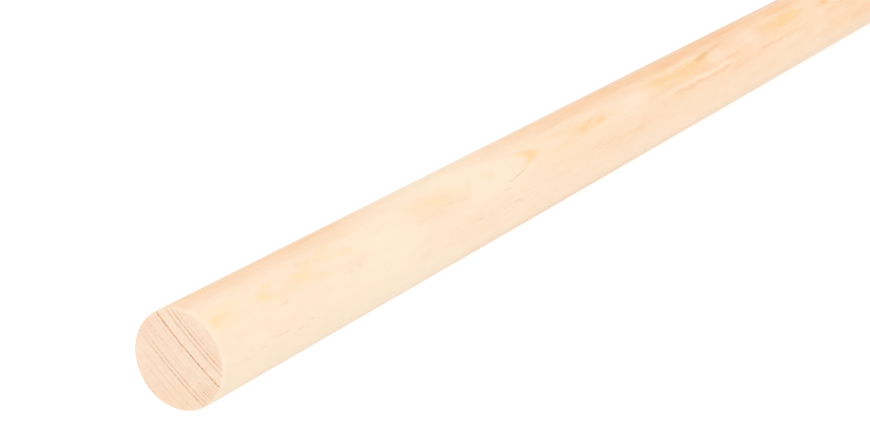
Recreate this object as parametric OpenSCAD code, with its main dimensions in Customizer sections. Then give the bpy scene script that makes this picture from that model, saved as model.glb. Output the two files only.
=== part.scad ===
// Plain round dowel rod: one length of softwood, turned to a constant diameter
// and cut square at both ends, with the sawn edge lightly rounded over.
//
// Frame: the origin is the centre of the near end face, +X runs along the rod
// to the far end, and +Z is up. All sizes are in millimetres.

/* [Rod] */
// Diameter of the turned shaft
rod_d = 25; // [6:0.5:50]
// Length from one end face to the other
rod_l = 600; // [50:10:2400]

/* [End edges] */
// Radius of the rounded edge around the near end face
near_edge_r = 0.5; // [0.2:0.1:2]
// Radius of the rounded edge around the far end face
far_edge_r = 0.5; // [0.2:0.1:2]

/* [Hidden] */

// Segments in a full circle
$fn = 96;
// Radius of the turned shaft
rod_r = rod_d / 2;
// Length of the shaft that keeps its full diameter, between the rounded edges
shaft_l = rod_l - near_edge_r - far_edge_r;
// Colour of freshly sanded pine
pine = [0.98, 0.89, 0.78];

// Quarter-round edge at one end of the half section, from the end face at y = 0
// out to the full radius at y = edge_r, with the wood between it and the axis.
module edge_profile(edge_r) {
    square([rod_r - edge_r, edge_r]);
    intersection() {
        translate([rod_r - edge_r, edge_r]) circle(r = edge_r);
        translate([rod_r - edge_r, 0]) square(edge_r);
    }
}

// Half section of the rod: x is the distance from the axis, y runs along it.
module rod_profile() {
    edge_profile(near_edge_r);
    translate([0, near_edge_r]) square([rod_r, shaft_l]);
    translate([0, rod_l]) mirror([0, 1]) edge_profile(far_edge_r);
}

// The rod, turned from its half section and laid along +X.
module dowel_rod() {
    color(pine) rotate([0, 90, 0]) rotate_extrude() rod_profile();
}

dowel_rod();
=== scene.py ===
"""A pine dowel rod lying on a plain white floor, in metres, with +X along the rod."""

import math

import bpy
import numpy as np
from mathutils import Euler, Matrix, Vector


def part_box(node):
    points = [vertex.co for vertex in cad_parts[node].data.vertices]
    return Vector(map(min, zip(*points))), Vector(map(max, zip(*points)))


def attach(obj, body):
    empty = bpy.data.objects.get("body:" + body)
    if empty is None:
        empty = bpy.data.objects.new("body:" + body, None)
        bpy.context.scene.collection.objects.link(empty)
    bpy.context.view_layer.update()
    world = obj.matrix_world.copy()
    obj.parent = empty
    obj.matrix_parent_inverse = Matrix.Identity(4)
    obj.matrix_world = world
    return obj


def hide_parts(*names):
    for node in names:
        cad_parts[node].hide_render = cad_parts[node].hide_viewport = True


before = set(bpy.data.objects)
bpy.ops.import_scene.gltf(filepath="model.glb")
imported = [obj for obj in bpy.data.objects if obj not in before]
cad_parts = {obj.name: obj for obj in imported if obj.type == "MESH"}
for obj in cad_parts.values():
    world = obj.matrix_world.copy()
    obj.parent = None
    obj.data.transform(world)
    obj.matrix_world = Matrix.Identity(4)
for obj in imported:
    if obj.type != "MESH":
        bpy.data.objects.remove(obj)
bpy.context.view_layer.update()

# ------------------------------------------------------------------ The dowel rod
# One length of slow-grown pine, turned to a round rod, sawn off square at both ends
# and left bare. The sawn edges are lightly rounded over. Nothing is fixed to it.

low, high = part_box("dowel_rod")
rod_length = high.x - low.x
rod_radius = high.z
edge_radius = 0.0005
MM = 0.001

TURN_STEPS = 180
SHAFT_STEPS = 240
EDGE_STEPS = 6
END_STEPS = 12


def rod_profile():
    """Distance along the rod and distance from its axis, for each ring of points: outwards
    over the near end, round its edge by a quarter circle, along the shaft, and the same
    way back to the middle of the far end."""
    face = rod_radius - edge_radius
    bend = np.linspace(0, math.pi / 2, EDGE_STEPS, endpoint=False)
    near_x = np.concatenate([np.zeros(END_STEPS), edge_radius * (1 - np.cos(bend))])
    near_r = np.concatenate([
        np.linspace(0, face, END_STEPS, endpoint=False),
        face + edge_radius * np.sin(bend),
    ])
    shaft_x = np.linspace(edge_radius, rod_length - edge_radius, SHAFT_STEPS)
    along = np.concatenate([near_x, shaft_x, rod_length - near_x[::-1]])
    from_axis = np.concatenate([near_r, np.full(SHAFT_STEPS, rod_radius), near_r[::-1]])
    return along, from_axis


def rod_points(along, from_axis):
    """Each ring turned once round the axis from its lowest point: y is minus the distance
    times the cosine of the turn, and z is the distance times its sine."""
    turn = np.arange(TURN_STEPS) * 2 * math.pi / TURN_STEPS - math.pi / 2
    ring_x = np.repeat(along[1:-1, None], TURN_STEPS, 1)
    ring_y = -from_axis[1:-1, None] * np.cos(turn)
    ring_z = from_axis[1:-1, None] * np.sin(turn)
    rings = np.stack([ring_x, ring_y, ring_z], -1).reshape(-1, 3)
    return np.concatenate([rings, [[along[0], 0, 0], [along[-1], 0, 0]]])


def rod_faces(rings):
    """Quads between neighbouring rings, and a fan of triangles round the middle of each end,
    all facing out."""
    ring, turn = np.meshgrid(np.arange(rings - 1), np.arange(TURN_STEPS), indexing="ij")
    after = (turn + 1) % TURN_STEPS
    quads = np.stack([
        ring * TURN_STEPS + turn,
        (ring + 1) * TURN_STEPS + turn,
        (ring + 1) * TURN_STEPS + after,
        ring * TURN_STEPS + after,
    ], -1).reshape(-1, 4)
    this = np.arange(TURN_STEPS)
    after = (this + 1) % TURN_STEPS
    near_middle = np.full(TURN_STEPS, rings * TURN_STEPS)
    last_ring = (rings - 1) * TURN_STEPS
    near_fan = np.stack([near_middle, this, after], -1)
    far_fan = np.stack([near_middle + 1, last_ring + after, last_ring + this], -1)
    return quads, near_fan, far_fan


# The flat sheet that the finish is baked to, one unit each way: how many strips the shaft
# is cut into, how much of the sheet a metre of the shaft and of an end takes up, the gap
# between strips, and where the middles of the two ends lie.
STRIPS = 3
SHAFT_SCALE = 4.142
END_SCALE = 6.1
STRIP_GAP = 0.006
ENDS_U = 0.92
NEAR_END_V = 0.25
FAR_END_V = 0.75


def rod_map(along, from_axis):
    """Where each face corner lies on the flat sheet. The shaft and its rounded edges are
    unrolled from their lowest line, cut into equal lengths and stacked, and the two ends
    lie beside them as discs."""
    rings = len(along) - 2
    ring, turn = np.meshgrid(np.arange(rings - 1), np.arange(TURN_STEPS), indexing="ij")
    step = np.hypot(np.diff(along[1:-1]), np.diff(from_axis[1:-1]))
    run = np.concatenate([[0], np.cumsum(step)])
    first = END_STEPS - 1
    last = rings - 1 - first
    run = run - run[first]
    length = run[last]
    middle = (run[:-1] + run[1:]) / 2
    strip = np.clip(middle * STRIPS // length, 0, STRIPS - 1)[ring]
    girth = 2 * math.pi * rod_radius * SHAFT_SCALE

    def on_shaft(ring_after, turn_after):
        u = STRIP_GAP + (run[ring + ring_after] - strip * length / STRIPS) * SHAFT_SCALE
        v = STRIP_GAP + strip * (girth + STRIP_GAP) + (turn + turn_after) / TURN_STEPS * girth
        return np.stack([u, v], -1)

    def on_end(ring_index, turn_index):
        is_far = ring_index > rings // 2
        angle = turn_index * 2 * math.pi / TURN_STEPS * np.where(is_far, -1, 1)
        reach = from_axis[1:-1][ring_index] * END_SCALE
        middle_v = np.where(is_far, FAR_END_V, NEAR_END_V)
        return np.stack([ENDS_U + reach * np.cos(angle), middle_v + reach * np.sin(angle)], -1)

    corners = ((0, 0), (1, 0), (1, 1), (0, 1))
    on_shafts = np.stack([on_shaft(*corner) for corner in corners], -2)
    on_ends = np.stack([on_end(ring + a, turn + b) for a, b in corners], -2)
    is_end = (ring < first) | (ring >= last)
    quads = np.where(is_end[..., None, None], on_ends, on_shafts).reshape(-1, 2)

    def fan(ring_index, middle_v, turns):
        edge = [on_end(np.full(TURN_STEPS, ring_index), turn_index) for turn_index in turns]
        middle = np.tile([ENDS_U, middle_v], (TURN_STEPS, 1))
        return np.stack([middle, *edge], -2).reshape(-1, 2)

    this = np.arange(TURN_STEPS)
    near = fan(0, NEAR_END_V, (this, this + 1))
    far = fan(rings - 1, FAR_END_V, (this + 1, this))
    return np.concatenate([quads, near, far])


along, from_axis = rod_profile()
points = rod_points(along, from_axis)
quads, near_fan, far_fan = rod_faces(len(along) - 2)
mesh = bpy.data.meshes.new("dowel_rod_wood")
mesh.from_pydata(points.tolist(), [], quads.tolist() + near_fan.tolist() + far_fan.tolist())
mesh.polygons.foreach_set("use_smooth", np.ones(len(mesh.polygons), bool))
sheet = mesh.uv_layers.new(name="OFBake")
sheet.uv.foreach_set("vector", rod_map(along, from_axis).astype(np.float32).ravel())


def blended(x, stations):
    """Smooth curve through the stations, a list of (place, value): between two of them a
    cubic, whose slope at each station is that of the chord between its neighbours."""
    place, value = np.array(stations, float).T
    slope = np.gradient(value, place)
    i = np.clip(np.searchsorted(place, x) - 1, 0, len(place) - 2)
    step = place[i + 1] - place[i]
    t = np.clip((x - place[i]) / step, 0, 1)
    return (
        value[i] * (1 + 2 * t) * (1 - t) ** 2
        + value[i + 1] * t**2 * (3 - 2 * t)
        + slope[i] * step * t * (1 - t) ** 2
        - slope[i + 1] * step * t**2 * (1 - t)
    )


# The tree's heart runs beside the rod. At each place along the rod, in mm: how much further
# off it is than at the near end, in mm, and in which direction, in degrees up from level on
# the -Y side. Where it comes nearer and goes away again, the rings are cut into nested ovals.
HEART_DISTANCE = 125.0
HEART_DRIFT = [
    (0, 0.0), (21, -1.13), (36, -1.88), (55, -2.14), (82, -2.5), (123, -2.14), (135, -1.88),
    (150, -1.74), (167, -1.13), (214, -0.06), (242, 0.4), (272, 0.75), (296, 1.5), (335, 1.88),
    (368, 2.08), (387, 2.41), (416, 3.2), (480, 3.8), (600, 4.6),
]
HEART_DIRECTION = [
    (0, 48), (40, 51), (90, 52), (150, 51), (205, 51), (250, 54), (300, 55), (345, 57),
    (395, 53), (450, 48), (600, 48),
]


def growth(points):
    """How far out in the tree each point grew, in mm: its distance from the heart, less the
    distance from the heart to the nearest point of the near end."""
    x, y, z = points.T / MM
    off = HEART_DISTANCE + blended(x, HEART_DRIFT)
    turn = np.radians(blended(x, HEART_DIRECTION))
    across = np.hypot(y + off * np.cos(turn), z - off * np.sin(turn))
    return across - (HEART_DISTANCE - rod_radius / MM)


def patches(points, places):
    """Sum of smooth humps, each one a (place along the rod in mm, reach in mm, direction in
    degrees up from level on the -Y side, spread in degrees, height)."""
    x, y, z = points.T / MM
    angle = np.degrees(np.arctan2(z, -y))
    total = np.zeros(len(x))
    for place, reach, turn, spread, height in places:
        away = (angle - turn + 180) % 360 - 180
        total += height * np.exp(-(((x - place) / reach) ** 2) - (away / spread) ** 2)
    return total


# How warm the wood's colour is: it deepens slowly along the rod, and stays pale over the
# ovals' middles. A band along the top is warmer and darker still, partly the wood's own
# colour and partly painted shade of the top.
LENGTHWAYS_WARMTH = [(0, 0.08), (75, 0.11), (150, 0.24), (300, 0.32), (400, 0.38), (600, 0.5)]
TOP_WARMTH_AND_SHADE = [
    (0, 0.3), (40, 0.32), (65, 0.32), (90, 0.06), (140, 0.04), (190, 0.28), (225, 0.4), (330, 0.4),
    (350, 0.3), (380, 0.32), (480, 0.3), (600, 0.3),
]
TOP_WARMTH_AND_SHADE_DIRECTION = 97
TOP_WARMTH_AND_SHADE_SPREAD = 20
WARM_PATCHES = [
    # beyond the top
    (110, 30, 114, 9, -0.15), (116, 25, 113, 8, -0.15), (187, 40, 113, 10, -0.24),
    (190, 35, 113, 8, -0.15), (265, 34, 112, 8, -0.16), (272, 38, 113, 8, -0.15),
    # along the top
    (12, 12, 102, 6, 0.1), (62, 12, 96, 5, 0.1), (62, 18, 102, 8, 0.12), (88, 18, 100, 7, 0.12),
    (108, 28, 88, 20, -0.06), (163, 10, 96, 6, 0.08), (277, 26, 94, 8, -0.12), (312, 14, 90, 14, 0.12),
    # between the top and the ovals
    (62, 14, 74, 5, 0.14), (120, 12, 76, 10, -0.14), (147, 8, 78, 8, 0.08), (172, 9, 68, 6, -0.1),
    (187, 10, 72, 4, 0.1), (187, 20, 78, 6, 0.06), (197, 7, 73, 3, 0.12), (202, 8, 61, 6, -0.24),
    (212, 10, 72, 4, 0.12), (232, 9, 67, 6, 0.16), (252, 10, 62, 6, 0.14), (262, 34, 80, 5, 0.12),
    (268, 16, 75, 5, 0.26), (270, 12, 65, 6, -0.1), (287, 8, 74, 5, 0.14), (312, 14, 66, 7, 0.12),
    (312, 16, 72, 6, 0.12), (350, 30, 74, 5, 0.12), (358, 8, 67, 4, -0.16), (368, 28, 77, 8, 0.14),
    (374, 9, 72, 4, 0.12),
    # over the ovals
    (108, 14, 50, 22, 0.1), (140, 22, 50, 32, -0.22), (178, 12, 56, 20, -0.06), (187, 10, 52, 5, -0.1),
    (232, 14, 52, 18, -0.18), (318, 14, 57, 14, 0.1), (331, 12, 57, 9, -0.2), (344, 12, 58, 12, 0.22),
    (404, 12, 48, 10, 0.2),
    # below the ovals
    (35, 30, 40, 35, 0.05), (62, 14, 36, 6, 0.1), (75, 25, 35, 35, -0.1), (112, 14, 36, 6, 0.06),
    (212, 10, 42, 5, -0.24), (238, 10, 36, 5, 0.12), (247, 8, 40, 4, 0.14), (266, 18, 43, 5, 0.12),
    (270, 8, 44, 5, 0.1), (289, 10, 43, 5, 0.26), (314, 9, 40, 5, 0.2), (362, 14, 36, 10, 0.06),
    (364, 12, 44, 5, 0.08),
    # along the side
    (122, 16, 10, 10, 0.08), (165, 25, -3, 7, -0.08), (222, 25, 12, 16, 0.1), (262, 14, 27, 5, 0.1),
    (263, 6, 29, 3, 0.12), (276, 40, 24, 10, 0.08), (312, 18, 26, 7, 0.12), (325, 22, 22, 6, 0.07),
    (338, 14, 23, 7, 0.08), (413, 12, 31, 8, 0.25), (432, 30, 5, 14, 0.2),
    # underneath; the long strong patch along the lower outline is painted shade
    (84, 16, -18, 8, -0.08), (90, 20, -34, 7, -0.1), (110, 30, -20, 15, -0.05),
    (147, 8, -22, 14, -0.08), (190, 75, -46, 8, 0.36), (230, 100, -22, 18, -0.11),
    (400, 60, -16, 10, -0.1), (410, 40, -45, 9, -0.32),
]


def warmth_and_shade(points):
    """How warm the wood is lengthways, plus the top band, partly painted shade, as a hump
    round the rod, plus the patches, one of them painted shade along the lower outline.
    """
    x, y, z = points.T / MM
    away = np.degrees(np.arctan2(z, -y)) - TOP_WARMTH_AND_SHADE_DIRECTION
    band = blended(x, TOP_WARMTH_AND_SHADE) * np.exp(-np.abs(away / TOP_WARMTH_AND_SHADE_SPREAD) ** 4)
    return blended(x, LENGTHWAYS_WARMTH) + band + patches(points, WARM_PATCHES)


# Where the rings' broad warm flames show, where their thin dark edges do, and where the
# grain has short dark specks. The last two show all along the back and the underside.
FLAME_PATCHES = [
    (5, 8, 53, 11, 1.0), (25, 7, 52, 9, 1.1), (42, 8, 50, 9, 1.0), (54, 9, 59, 9, 0.7),
    (108, 13, 55, 15, 0.55), (163, 11, 52, 13, 1.3), (184, 18, 53, 14, 0.45), (208, 13, 50, 9, 1.1),
    (261, 13, 57, 12, 1.05), (285, 13.5, 57, 13, 1.15), (350, 9, 54, 12, 0.85),
    (369, 14.5, 54.5, 13, 1.45), (410, 9, 48, 9, 2.2), (425, 9, 38, 9, 2.2), (480, 40, 52, 16, 1.0),
    (560, 40, 48, 16, 1.0),
]
BACK_AND_UNDERSIDE = (300, 900, 215, 65)
EDGE_PATCHES = [(*BACK_AND_UNDERSIDE, 0.35)]
SPECK_PATCHES = [
    (28, 25, 1, 6, 0.7), (54, 12, 66, 6, 0.6), (104, 15, 41, 3, 0.9), (125, 22, 4, 7, 0.9),
    (140, 12, 22, 5, 0.7), (149, 9, 7, 7, 1.0), (200, 11, 16, 6, 1.2), (226, 8, 29, 5, 0.8),
    (316, 12, 39, 5, 0.8), (345, 10, 30, 6, 0.6), (*BACK_AND_UNDERSIDE, 0.5),
]

# Where the painted greyish sheen towards the rod's outline is weaker.
WEAK_SHEEN_PATCHES = [(160, 190, 118, 22, 0.7), (20, 40, 118, 22, 0.3)]

# On the sawn ends: where the wood is pinker, where it is more orange, where the ring lines
# show less, and where the saw has left fine stripes. Each spot is a (mm towards -Y, mm up,
# reach in mm, height).
PINK_SPOTS = [
    (-8.3, 6.1, 3.5, 0.9), (-7.6, -6.1, 4.5, 0.5), (-5.5, -9.0, 3.5, 0.3), (-2.0, 0.5, 3.5, 0.5),
    (7.0, 6.5, 3.0, 0.5),
]
ORANGE_SPOTS = [
    (-3.0, -10.2, 2.2, 0.7), (0.9, -7.0, 2.3, 0.6), (1.5, -11.0, 2.2, 0.6), (6.6, -8.6, 2.2, 0.7),
    (9.5, 2.6, 1.8, 0.6),
]
FAINT_SPOTS = [
    (-11.0, 3.0, 4.0, 1.0), (-11.0, -3.0, 3.0, 0.6), (-1.0, 2.5, 4.0, 0.3), (9.0, -1.5, 3.0, 0.3),
]
STRIPE_SPOTS = [
    (2.6, -1.6, 1.7, 0.4), (3.8, -3.2, 1.5, 0.3), (8.3, -6.6, 2.8, 1.0), (9.4, 0.6, 1.6, 0.4),
]


def spots(points, places):
    """Sum of smooth round humps seen along the rod, each one a (mm towards -Y, mm up, reach
    in mm, height)."""
    x, y, z = points.T / MM
    total = np.zeros(len(x))
    for aside, up, reach, height in places:
        total += height * np.exp(-((y + aside) ** 2 + (z - up) ** 2) / reach**2)
    return total


def sawn(from_axis):
    """How far each point shows the sawn end and not the shaft: 1 over the end, and down to 0
    at its rim by a smooth step as wide as the rim is worn."""
    rim_wear = 0.0006
    reach = np.concatenate([np.repeat(from_axis[1:-1], TURN_STEPS), [0, 0]])
    inside = np.clip((rod_radius - reach) / rim_wear, 0, 1)
    return inside**2 * (3 - 2 * inside)


wood = {
    "growth": growth(points),
    "warmth_and_shade": warmth_and_shade(points),
    "flame_shown": patches(points, FLAME_PATCHES),
    "edge_shown": patches(points, EDGE_PATCHES),
    "specks_shown": patches(points, SPECK_PATCHES),
    "sheen_weakened": patches(points, WEAK_SHEEN_PATCHES),
    "cut_across": sawn(from_axis),
    "pink_shown": spots(points, PINK_SPOTS),
    "orange_shown": spots(points, ORANGE_SPOTS),
    "lines_faint": spots(points, FAINT_SPOTS),
    "stripes_shown": spots(points, STRIPE_SPOTS),
}
for name, values in wood.items():
    layer = mesh.attributes.new(name, "FLOAT", "POINT")
    layer.data.foreach_set("value", values.astype(np.float32))


def srgb(red, green, blue):
    """A colour given as it shows on a screen, 0 to 255, as the linear one that nodes take."""
    shown = np.array([red, green, blue]) / 255
    linear = np.where(shown > 0.04045, ((shown + 0.055) / 1.055) ** 2.4, shown / 12.92)
    return (*linear.tolist(), 1.0)


def wire(tree, sockets, values):
    """Sets each socket: to a value, or by a link from the output that feeds it. None leaves it."""
    for socket, value in zip(sockets, values):
        if isinstance(value, bpy.types.NodeSocket):
            tree.links.new(value, socket)
        elif value is not None:
            socket.default_value = value


def node(tree, kind, *values, **settings):
    """One node, with its own settings and a value or link for each input in turn."""
    made = tree.nodes.new(kind)
    for name, value in settings.items():
        setattr(made, name, value)
    wire(tree, made.inputs, values)
    return made


def maths(tree, operation, *values):
    return node(tree, "ShaderNodeMath", *values, operation=operation).outputs[0]


def ramp(tree, value, low, high, at_low=0.0, at_high=1.0, kind="LINEAR"):
    """A number that goes from at_low to at_high as value goes from low to high, and is held
    beyond them."""
    values = (value, low, high, at_low, at_high)
    return node(tree, "ShaderNodeMapRange", *values, interpolation_type=kind).outputs[0]


def varied(tree, value, pattern, low, high, at_low, at_high):
    """value times a factor that goes from at_low to at_high as the pattern goes from low to high."""
    return maths(tree, "MULTIPLY", value, ramp(tree, pattern, low, high, at_low, at_high))


def mixed(tree, share, first, second, blend="MIX"):
    """Two colours mixed: share 0 gives the first, share 1 the second."""
    made = node(tree, "ShaderNodeMix", data_type="RGBA", blend_type=blend)
    wire(tree, (made.inputs[0], made.inputs[6], made.inputs[7]), (share, first, second))
    return made.outputs[2]


def laid(tree, colour, top_colour, share):
    """A colour with another one laid over it, by a share that is held between 0 and 1."""
    return mixed(tree, ramp(tree, share, 0.0, 1.0), colour, top_colour)


def attribute(tree, name):
    return node(tree, "ShaderNodeAttribute", attribute_name=name).outputs["Fac"]


def place_on_rod(tree):
    """Where a point is in the row frame, in metres."""
    return node(tree, "ShaderNodeTexCoord").outputs["Object"]


def group(name, inputs, outputs):
    """An empty node group with these number inputs and outputs, and the sockets inside it
    that they arrive at."""
    tree = bpy.data.node_groups.new(name, "ShaderNodeTree")
    for socket in inputs:
        tree.interface.new_socket(socket, in_out="INPUT", socket_type="NodeSocketFloat")
    for socket in outputs:
        tree.interface.new_socket(socket, in_out="OUTPUT", socket_type="NodeSocketFloat")
    return tree, node(tree, "NodeGroupInput").outputs, node(tree, "NodeGroupOutput").inputs


def grain_group():
    """A cloudy pattern from 0 to 1, drawn out along the grain: it changes about every so
    many mm along the rod and across it."""
    inputs = ("Along mm", "Across mm", "Detail", "Roughness", "Seed")
    tree, put, out = group("grain", inputs, ("Pattern",))
    along = maths(tree, "DIVIDE", 1 / MM, put["Along mm"])
    across = maths(tree, "DIVIDE", 1 / MM, put["Across mm"])
    stretch = node(tree, "ShaderNodeCombineXYZ", along, across, across).outputs[0]
    shift = node(tree, "ShaderNodeCombineXYZ", put["Seed"], put["Seed"], put["Seed"]).outputs[0]
    place = node(tree, "ShaderNodeMapping", place_on_rod(tree), shift, None, stretch).outputs[0]
    unscaled = 1.0
    values = (place, None, unscaled, put["Detail"], put["Roughness"])
    pattern = node(tree, "ShaderNodeTexNoise", *values)
    wire(tree, (out["Pattern"],), (pattern.outputs["Fac"],))
    return tree


# The grain patterns in the finish, each one by the group's inputs: mm along, mm across,
# detail, roughness and seed. They stray from 0.5, seldom past 0.3 or 0.7.
GRAINS = {
    "long sway": (60.0, 7.0, 2.0, 0.5, 0.0),
    "short sway": (22.0, 1.6, 2.0, 0.5, 4.0),
    "ripple": (6.0, 0.8, 2.0, 0.5, 8.0),
    "long stripes": (45.0, 0.9, 3.0, 0.6, 2.0),
    "broad blotches": (14.0, 2.2, 2.0, 0.6, 3.0),
    "flame blotches": (9.0, 2.2, 2.0, 0.5, 6.0),
    "flame flecks": (3.0, 0.9, 2.0, 0.5, 9.0),
    "ring gaps": (7.0, 0.7, 2.0, 0.6, 14.0),
    "specks": (5.0, 0.3, 1.0, 0.5, 12.0),
    "stray": (9.0, 3.0, 1.0, 0.5, 44.0),
    "mark gaps": (4.0, 0.6, 3.0, 0.6, 40.0),
    "end blotches": (3.0, 3.4, 3.0, 0.55, 20.0),
    "end flecks": (2.0, 0.4, 1.0, 0.5, 24.0),
    "end dots": (1.0, 0.5, 2.0, 0.6, 26.0),
    "end beads": (2.0, 1.3, 1.0, 0.5, 28.0),
    "fibres": (9.0, 0.22, 3.0, 0.6, 32.0),
    "clouds": (7.0, 2.6, 3.0, 0.6, 36.0),
}
grain_tree = grain_group()


def grain(tree, name):
    """One of the grain patterns."""
    made = node(tree, "ShaderNodeGroup", *GRAINS[name], node_tree=grain_tree)
    return made.outputs["Pattern"]


def ring_group():
    """One growth ring, which darkens outwards to its edge and stops there. Flame is the broad
    warm band before the edge, full over a share of its width, and Line is the thin dense line
    just inside it. All lengths are in mm."""
    inputs = ("Growth", "Edge", "Width", "Flame so far", "Flame", "Line so far", "Line")
    tree, put, out = group("growth_ring", inputs, ("Flame", "Line"))
    full_share, soft_edge, line_inside, line_reach = 0.45, 0.1, 0.15, 0.42
    inside = maths(tree, "SUBTRACT", put["Edge"], put["Growth"])
    within = ramp(tree, inside, -soft_edge, soft_edge, 0.0, 1.0, "SMOOTHSTEP")
    full = maths(tree, "MULTIPLY", put["Width"], full_share)
    rise = ramp(tree, inside, full, put["Width"], 1.0, 0.0, "SMOOTHSTEP")
    flame = maths(tree, "MULTIPLY", maths(tree, "MULTIPLY", rise, within), put["Flame"])
    from_line = maths(tree, "ABSOLUTE", maths(tree, "SUBTRACT", inside, line_inside))
    line = ramp(tree, from_line, 0.0, line_reach, 1.0, 0.0, "SMOOTHSTEP")
    line = maths(tree, "MULTIPLY", line, put["Line"])
    flame = maths(tree, "MAXIMUM", put["Flame so far"], flame)
    line = maths(tree, "MAXIMUM", put["Line so far"], line)
    wire(tree, (out["Flame"], out["Line"]), (flame, line))
    return tree


# Each ring's outer edge in mm of growth, the width of its warm band in mm, and how strongly
# its flame and its line show. The rings are from a dry and a wet spell of years, so uneven.
RINGS = [
    (-2.14, 0.3, 0.8, 0.03), (-1.88, 0.25, 0.7, 0.03), (-1.13, 0.38, 1.0, 0.03), (-0.05, 0.9, 1.0, 0.03),
    (0.6, 0.3, 0.15, 0.05), (1.5, 1.9, 1.0, 0.03), (2.38, 0.75, 1.0, 0.05), (2.93, 0.4, 1.0, 0.12),
    (3.9, 0.5, 0.5, 0.25), (4.95, 0.6, 0.5, 0.55), (6.15, 0.6, 0.5, 0.45), (7.65, 0.5, 0.2, 0.06),
    (8.96, 0.9, 0.7, 1.0), (10.13, 0.5, 0.3, 0.18), (11.25, 0.4, 0.2, 0.08), (12.55, 0.5, 0.3, 0.2),
    (13.45, 0.4, 0.3, 0.13), (15.15, 0.6, 0.5, 0.42), (16.25, 0.7, 0.5, 0.52), (17.65, 0.5, 0.3, 0.1),
    (19.05, 0.6, 0.4, 0.2), (20.95, 0.6, 0.4, 0.18), (22.55, 0.5, 0.3, 0.08), (24.6, 0.8, 0.5, 0.3),
    (26.4, 0.7, 0.5, 0.25), (28.3, 0.8, 0.5, 0.3), (29.8, 0.6, 0.5, 0.2),
]
# How far each kind of sway carries the rings, in mm.
SWAYS = {"long sway": 0.08, "short sway": 0.1, "ripple": 0.06}
ring_tree = ring_group()


def rings_in(tree):
    """Each point's growth, swayed a little, and how strongly the rings' flames and lines show
    there."""
    grown = attribute(tree, "growth")
    for name, sway in SWAYS.items():
        swayed = maths(tree, "MULTIPLY_ADD", grain(tree, name), 2 * sway, -sway)
        grown = maths(tree, "ADD", grown, swayed)
    flame, line = 0.0, 0.0
    for edge, width, flame_strength, line_strength in RINGS:
        values = (grown, edge, width, flame, flame_strength, line, line_strength)
        ring = node(tree, "ShaderNodeGroup", *values, node_tree=ring_tree)
        flame, line = ring.outputs["Flame"], ring.outputs["Line"]
    return grown, flame, line


def mark_group():
    """A soft, nearly straight mark on the shaft, 1 in its middle and 0 beyond its length and
    width. Along and Round are where its middle is, in mm along the rod and in degrees up
    from level on the -Y side. Length and Width are in mm, Slant is how many mm it climbs in
    each mm, and Wobble is how many mm it strays."""
    inputs = ("Along", "Round", "Length", "Width", "Slant", "Mark so far", "Mark", "Wobble")
    tree, put, out = group("mark", inputs, ("Mark",))
    fades_from, ends_at = 0.25, 0.5
    x, y, z = node(tree, "ShaderNodeSeparateXYZ", place_on_rod(tree)).outputs
    angle = maths(tree, "ARCTAN2", z, maths(tree, "MULTIPLY", y, -1.0))
    angle = maths(tree, "SUBTRACT", angle, maths(tree, "RADIANS", put["Round"]))
    climb = maths(tree, "MULTIPLY", angle, rod_radius / MM)
    x = maths(tree, "SUBTRACT", maths(tree, "DIVIDE", x, MM), put["Along"])
    climb = maths(tree, "SUBTRACT", climb, maths(tree, "MULTIPLY", x, put["Slant"]))
    climb = maths(tree, "ADD", climb, put["Wobble"])
    lengthways = maths(tree, "DIVIDE", maths(tree, "ABSOLUTE", x), put["Length"])
    sideways = maths(tree, "DIVIDE", maths(tree, "ABSOLUTE", climb), put["Width"])
    lengthways = ramp(tree, lengthways, fades_from, ends_at, 1.0, 0.0, "SMOOTHSTEP")
    sideways = ramp(tree, sideways, 0.0, ends_at, 1.0, 0.0, "SMOOTHSTEP")
    mark = maths(tree, "MULTIPLY", maths(tree, "MULTIPLY", lengthways, sideways), put["Mark"])
    wire(tree, (out["Mark"],), (maths(tree, "MAXIMUM", put["Mark so far"], mark),))
    return tree


# Small marks in the wood, each kind laid over the one before: the colour, how much of it
# still shows in gaps of the grain, how far it strays in mm, and then each mark, as mm along,
# degrees round, length and width in mm, mm climbed in each mm, and strength.
PALE_STREAKS = (srgb(254, 232, 206), 0.5, 0.4, [
    (196, 72, 30, 1.4, 0.0, 0.5), (274, 68.8, 50, 1.6, 0.0, 0.6), (280, 36, 70, 1.6, 0.0, 0.8),
    (388, 35, 60, 1.4, 0.0, 0.5),
])
RESIN_STREAKS = (srgb(242, 192, 134), 0.75, 0.0, [
    (192, 77, 40, 1.8, 0.0, 0.3), (292.5, 63, 17, 3.3, 0.105, 0.92), (304, 67.6, 24, 2.6, 0.08, 0.45),
    (312, 42, 16, 1.2, 0.02, 0.4), (368, 78, 24, 1.4, 0.0, 0.4),
])
RING_STREAKS = (srgb(247, 202, 160), 0.3, 0.4, [
    (197, 13, 14, 1.0, 0.05, 0.4), (200, 20, 14, 1.0, 0.1, 0.4), (209, 17, 8, 1.0, 0.1, 0.3),
    (270, 29.3, 28, 1.9, 0.0, 0.65), (291, 29.5, 40, 2.0, -0.005, 0.75), (320, 28.5, 20, 1.3, 0.0, 0.35),
    (346, 28.5, 34, 1.7, 0.0, 0.65), (362, 31, 13, 2.4, 0.0, 0.4), (371, 29, 24, 1.6, 0.0, 0.5),
])
YELLOW_STREAKS = (srgb(253, 222, 172), 0.6, 0.4, [
    (37, 53, 9, 2.8, 0.06, 0.45), (40, 43, 30, 2.6, -0.06, 0.3), (45, 61, 10, 2.6, 0.25, 0.5),
    (54, 66, 14, 2.4, 0.18, 0.55), (61.5, 51, 8, 4.0, 0.0, 0.3), (63, 72, 16, 2.4, 0.1, 0.12),
    (104, 56, 24, 6.0, 0.0, 0.25), (124, 49, 9, 2.4, 0.4, 0.4), (138, 53.5, 8, 5.0, 0.0, 0.32),
])
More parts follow.
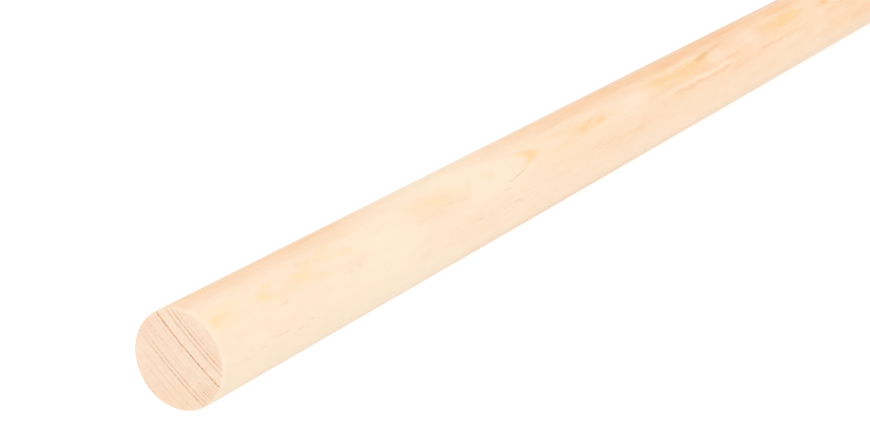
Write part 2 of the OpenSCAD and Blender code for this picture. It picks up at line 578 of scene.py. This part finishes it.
BROWN_FLECKS = (srgb(222, 184, 146), 0.15, 0.4, [
    (29, 32, 5, 1.6, 0.1, 0.14), (43.3, 65.7, 5, 1.6, 0.1, 0.2), (61, 31, 8, 2.0, 0.1, 0.2),
    (97, 40, 7, 1.6, 0.1, 0.2), (104, 42, 10, 1.4, -0.02, 0.16), (112, 43, 8, 1.6, 0.03, 0.2),
    (119, 42, 8, 1.4, -0.05, 0.18),
])
SCRATCHES = (srgb(232, 208, 178), 0.7, 0.0, [(150.5, 35, 14, 0.6, 0.12, 0.8)])
MARKS = (PALE_STREAKS, RESIN_STREAKS, RING_STREAKS, YELLOW_STREAKS, BROWN_FLECKS, SCRATCHES)
mark_tree = mark_group()


def marked(tree, colour):
    """The shaft's colour with the small marks laid over it."""
    gaps, stray = grain(tree, "mark gaps"), grain(tree, "stray")
    for mark_colour, least_shown, strays, places in MARKS:
        wobble = ramp(tree, stray, 0.3, 0.7, -strays, strays) if strays else 0.0
        mark = 0.0
        for place, turn, length, width, slant, strength in places:
            values = (place, turn, length, width, slant, mark, strength, wobble)
            mark = node(tree, "ShaderNodeGroup", *values, node_tree=mark_tree).outputs["Mark"]
        share = varied(tree, mark, gaps, 0.36, 0.58, at_low=least_shown, at_high=1.1)
        colour = mixed(tree, share, colour, mark_colour)
    return colour


def shaft_colour(tree, flame, line):
    """Pale wood, made warmer and darker by the warmth attribute, which also carries the
    painted shade along the top and the lower outline. Over it lie the rings' flames, their thin
    edges, the specks and the small marks, and at both ends a lighter band, a painted highlight."""
    pale_wood, warm_wood = srgb(254, 234, 210), srgb(251, 199, 152)
    yellow, orange, tan = srgb(254, 225, 179), srgb(253, 211, 159), srgb(252, 198, 145)
    edge_colour, speck_colour = srgb(244, 186, 138), srgb(236, 198, 166)
    edge_highlight_colour = srgb(255, 238, 222)

    # The warmth attribute also carries painted shade along the top and along the lower outline.
    warm = attribute(tree, "warmth_and_shade")
    warm = varied(tree, warm, grain(tree, "long stripes"), 0.3, 0.7, at_low=0.88, at_high=1.12)
    warm = varied(tree, warm, grain(tree, "broad blotches"), 0.3, 0.7, at_low=0.8, at_high=1.2)
    colour = laid(tree, pale_wood, warm_wood, warm)

    orange_from, orange_by, tan_from, tan_by = 0.12, 0.20, 0.39, 0.41
    x = node(tree, "ShaderNodeSeparateXYZ", place_on_rod(tree)).outputs[0]
    flame_colour = mixed(tree, ramp(tree, x, orange_from, orange_by), yellow, orange)
    flame_colour = mixed(tree, ramp(tree, x, tan_from, tan_by), flame_colour, tan)
    shown = maths(tree, "MULTIPLY", flame, attribute(tree, "flame_shown"))
    shown = varied(tree, shown, grain(tree, "flame blotches"), 0.36, 0.6, at_low=0.55, at_high=1.1)
    shown = varied(tree, shown, grain(tree, "flame flecks"), 0.34, 0.62, at_low=0.7, at_high=1.1)
    colour = laid(tree, colour, flame_colour, shown)

    flame_share = 0.3
    edge = maths(tree, "MAXIMUM", line, maths(tree, "MULTIPLY", flame, flame_share))
    edge = maths(tree, "MULTIPLY", edge, attribute(tree, "edge_shown"))
    edge = varied(tree, edge, grain(tree, "ring gaps"), 0.38, 0.6, at_low=0.15, at_high=1.0)
    colour = laid(tree, colour, edge_colour, edge)

    speck = ramp(tree, grain(tree, "specks"), 0.66, 0.74)
    speck = maths(tree, "MULTIPLY", speck, attribute(tree, "specks_shown"))
    colour = marked(tree, laid(tree, colour, speck_colour, speck))

    # A lighter band near both ends: a painted highlight along the rounded edges.
    rim, rim_end, rim_share = 0.0004, 0.0022, 0.4
    from_end = maths(tree, "MINIMUM", x, maths(tree, "SUBTRACT", rod_length, x))
    painted_edge_highlight = ramp(tree, from_end, rim, rim_end, rim_share, 0.0, "SMOOTHSTEP")
    return mixed(tree, painted_edge_highlight, colour, edge_highlight_colour)


def end_colour(tree, grown, line):
    """Pale wood cut across, in faint blotches, with pink and orange spots and light and dark
    flecks. Over it lie the rings' lines, dotted and beaded by their cells, and the stripes
    that the saw left."""
    pale_end, paler_end = srgb(255, 227, 201), srgb(255, 232, 209)
    pink, orange = srgb(255, 216, 196), srgb(255, 219, 180)
    light_fleck, dark_fleck = srgb(255, 238, 218), srgb(246, 203, 170)
    light_line, dark_line = srgb(240, 172, 130), srgb(190, 138, 108)

    paler = ramp(tree, grain(tree, "end blotches"), 0.35, 0.65)
    colour = mixed(tree, paler, pale_end, paler_end)
    pinker = ramp(tree, attribute(tree, "pink_shown"), 0.0, 1.0, at_high=0.5)
    colour = mixed(tree, pinker, colour, pink)
    more_orange = ramp(tree, attribute(tree, "orange_shown"), 0.0, 1.0, at_high=0.7)
    colour = mixed(tree, more_orange, colour, orange)
    fleck = grain(tree, "end flecks")
    light = ramp(tree, fleck, 0.58, 0.72, at_low=0.0, at_high=0.6)
    colour = mixed(tree, light, colour, light_fleck)
    dark = ramp(tree, fleck, 0.28, 0.42, at_low=0.4, at_high=0.0)
    colour = mixed(tree, dark, colour, dark_fleck)

    line = varied(tree, line, attribute(tree, "lines_faint"), 0.0, 1.0, at_low=1.0, at_high=0.1)
    line = varied(tree, line, grain(tree, "end dots"), 0.36, 0.6, at_low=0.5, at_high=1.2)
    stripe_spacing, stripe_share = 0.72, 0.5
    stripe = maths(tree, "SINE", maths(tree, "MULTIPLY", grown, 2 * math.pi / stripe_spacing))
    stripe = maths(tree, "MULTIPLY", ramp(tree, stripe, 0.0, 1.0), attribute(tree, "stripes_shown"))
    line = maths(tree, "MAXIMUM", line, maths(tree, "MULTIPLY", stripe, stripe_share))
    beaded = ramp(tree, grain(tree, "end beads"), 0.42, 0.58)
    return laid(tree, colour, mixed(tree, beaded, light_line, dark_line), line)


def painted_glancing_sheen(tree, colour):
    """The colour under a painted greyish sheen at a glancing angle, which greys and darkens the rod
    towards its outline.
    """
    sheen_grey = srgb(228, 224, 212)
    even_blend = 0.5
    glancing, edge_on, sheen_share = 0.78, 0.97, 0.55
    facing = node(tree, "ShaderNodeLayerWeight", even_blend).outputs["Facing"]
    sheen = ramp(tree, facing, glancing, edge_on, 0.0, sheen_share)
    sheen = varied(tree, sheen, attribute(tree, "sheen_weakened"), 0.0, 1.0, at_low=1.0, at_high=0.0)
    return mixed(tree, sheen, colour, sheen_grey)


def pine_material():
    """Bare pine. The rings are drawn from each point's growth, so that they run on from the
    shaft over the edge onto the sawn ends. Fine fibres and soft clouds shade both, and the
    fibres and the rings' lines stand up a little."""
    mat = bpy.data.materials.new("pine")
    mat.use_nodes = True
    tree = mat.node_tree
    shader = tree.nodes["Principled BSDF"]
    grown, flame, line = rings_in(tree)
    side, end = shaft_colour(tree, flame, line), end_colour(tree, grown, line)
    # A painted sheen greys and darkens the rod towards its outline.
    colour = painted_glancing_sheen(tree, mixed(tree, attribute(tree, "cut_across"), side, end))

    fibres = grain(tree, "fibres")
    shade = ramp(tree, fibres, 0.3, 0.7, at_low=0.988, at_high=1.014)
    shade = varied(tree, shade, grain(tree, "clouds"), 0.3, 0.7, at_low=0.986, at_high=1.014)
    shade_colour = node(tree, "ShaderNodeCombineColor", shade, shade, shade).outputs[0]
    colour = mixed(tree, 1.0, colour, shade_colour, "MULTIPLY")
    rough = ramp(tree, fibres, 0.3, 0.7, at_low=0.62, at_high=0.76)

    line_height, bump_strength, bump_height = 0.6, 0.5, 0.00004
    wood_specular = 0.15
    height = maths(tree, "ADD", fibres, maths(tree, "MULTIPLY", line, line_height))
    bump = node(tree, "ShaderNodeBump")
    sockets = (bump.inputs["Strength"], bump.inputs["Distance"], bump.inputs["Height"])
    wire(tree, sockets, (bump_strength, bump_height, height))

    sockets = (shader.inputs["Base Color"], shader.inputs["Roughness"], shader.inputs["Normal"])
    wire(tree, sockets, (colour, rough, bump.outputs[0]))
    shader.inputs["Specular IOR Level"].default_value = wood_specular
    return mat


mesh.materials.append(pine_material())
rod = bpy.data.objects.new("dowel_rod_wood", mesh)
bpy.context.scene.collection.objects.link(rod)
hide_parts("dowel_rod")
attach(rod, "root")

# ------------------------------------------------------------------ The floor
# A matt white sheet, level and much wider than the view, which the rod lies on. Seen by
# the camera or in a reflection it glows a little, so that it shows as clean white with a
# faint shadow along the rod.

floor_reach = 30.0
floor_glow = 0.36
glow_colour = (0.4, 0.65, 1, 1)
white = (1, 1, 1, 1)

corners = [(-1, -1), (1, -1), (1, 1), (-1, 1)]
floor_points = [(a * floor_reach, b * floor_reach, -rod_radius) for a, b in corners]
floor_mesh = bpy.data.meshes.new("floor")
floor_mesh.from_pydata(floor_points, [], [(0, 1, 2, 3)])
floor = bpy.data.objects.new("floor", floor_mesh)
bpy.context.scene.collection.objects.link(floor)
floor.visible_diffuse = False
floor.visible_shadow = False


def floor_material():
    """Matt white, with a glow that only the camera and reflections see."""
    mat = bpy.data.materials.new("floor_white")
    mat.use_nodes = True
    tree = mat.node_tree
    shader = tree.nodes["Principled BSDF"]
    shader.inputs["Base Color"].default_value = white
    shader.inputs["Roughness"].default_value = 1.0
    shader.inputs["Specular IOR Level"].default_value = 0.0
    shader.inputs["Emission Color"].default_value = glow_colour
    path = node(tree, "ShaderNodeLightPath").outputs
    seen = maths(tree, "MAXIMUM", path["Is Camera Ray"], path["Is Glossy Ray"])
    glow = maths(tree, "MULTIPLY", seen, floor_glow)
    wire(tree, (shader.inputs["Emission Strength"],), (glow,))
    return mat


floor_mesh.materials.append(floor_material())

# ------------------------------------------------------------------ Light
# Plain soft studio light: an even white room, and one broad lamp above and behind the
# camera, to its right. The room looks pure white, and lights the rod a little less than that.

room_light = 0.94
lamp_light = 0.08
lamp_spread = math.radians(50)
towards_lamp = Vector((-0.35, -0.8, 0.75))

world = bpy.data.worlds.new("white_room")
bpy.context.scene.world = world
world.use_nodes = True
tree = world.node_tree
seen = node(tree, "ShaderNodeLightPath").outputs["Is Camera Ray"]
strength = ramp(tree, seen, 0.0, 1.0, room_light, 1.0)
room = tree.nodes["Background"]
wire(tree, (room.inputs["Color"], room.inputs["Strength"]), (white, strength))

lamp = bpy.data.lights.new("broad_lamp", "SUN")
lamp.energy = lamp_light * math.pi
lamp.angle = lamp_spread
lamp_object = bpy.data.objects.new("broad_lamp", lamp)
bpy.context.scene.collection.objects.link(lamp_object)
lamp_object.rotation_euler = towards_lamp.to_track_quat("Z", "Y").to_euler()

# ------------------------------------------------------------------ Camera
# In front of the near end, looking along the rod and down at it. Its heading is turned
# anticlockwise from +Y, seen from above. The near end's place is as the camera sees it,
# in rod radii to the right, up and backwards.

looking_down = math.radians(17.502)
heading = math.radians(-60.717)
near_end_seen = Vector((-4.7296, -2.6178, -42.177)) * rod_radius

camera = bpy.data.cameras.new("camera")
camera.lens = 94.78
camera.sensor_width = 36
camera_object = bpy.data.objects.new("camera", camera)
bpy.context.scene.collection.objects.link(camera_object)
camera_object.rotation_euler = Euler((math.pi / 2 - looking_down, 0, heading))
camera_object.location = -(camera_object.rotation_euler.to_matrix() @ near_end_seen)
bpy.context.scene.camera = camera_object
bpy.context.scene.view_settings.view_transform = "Standard"
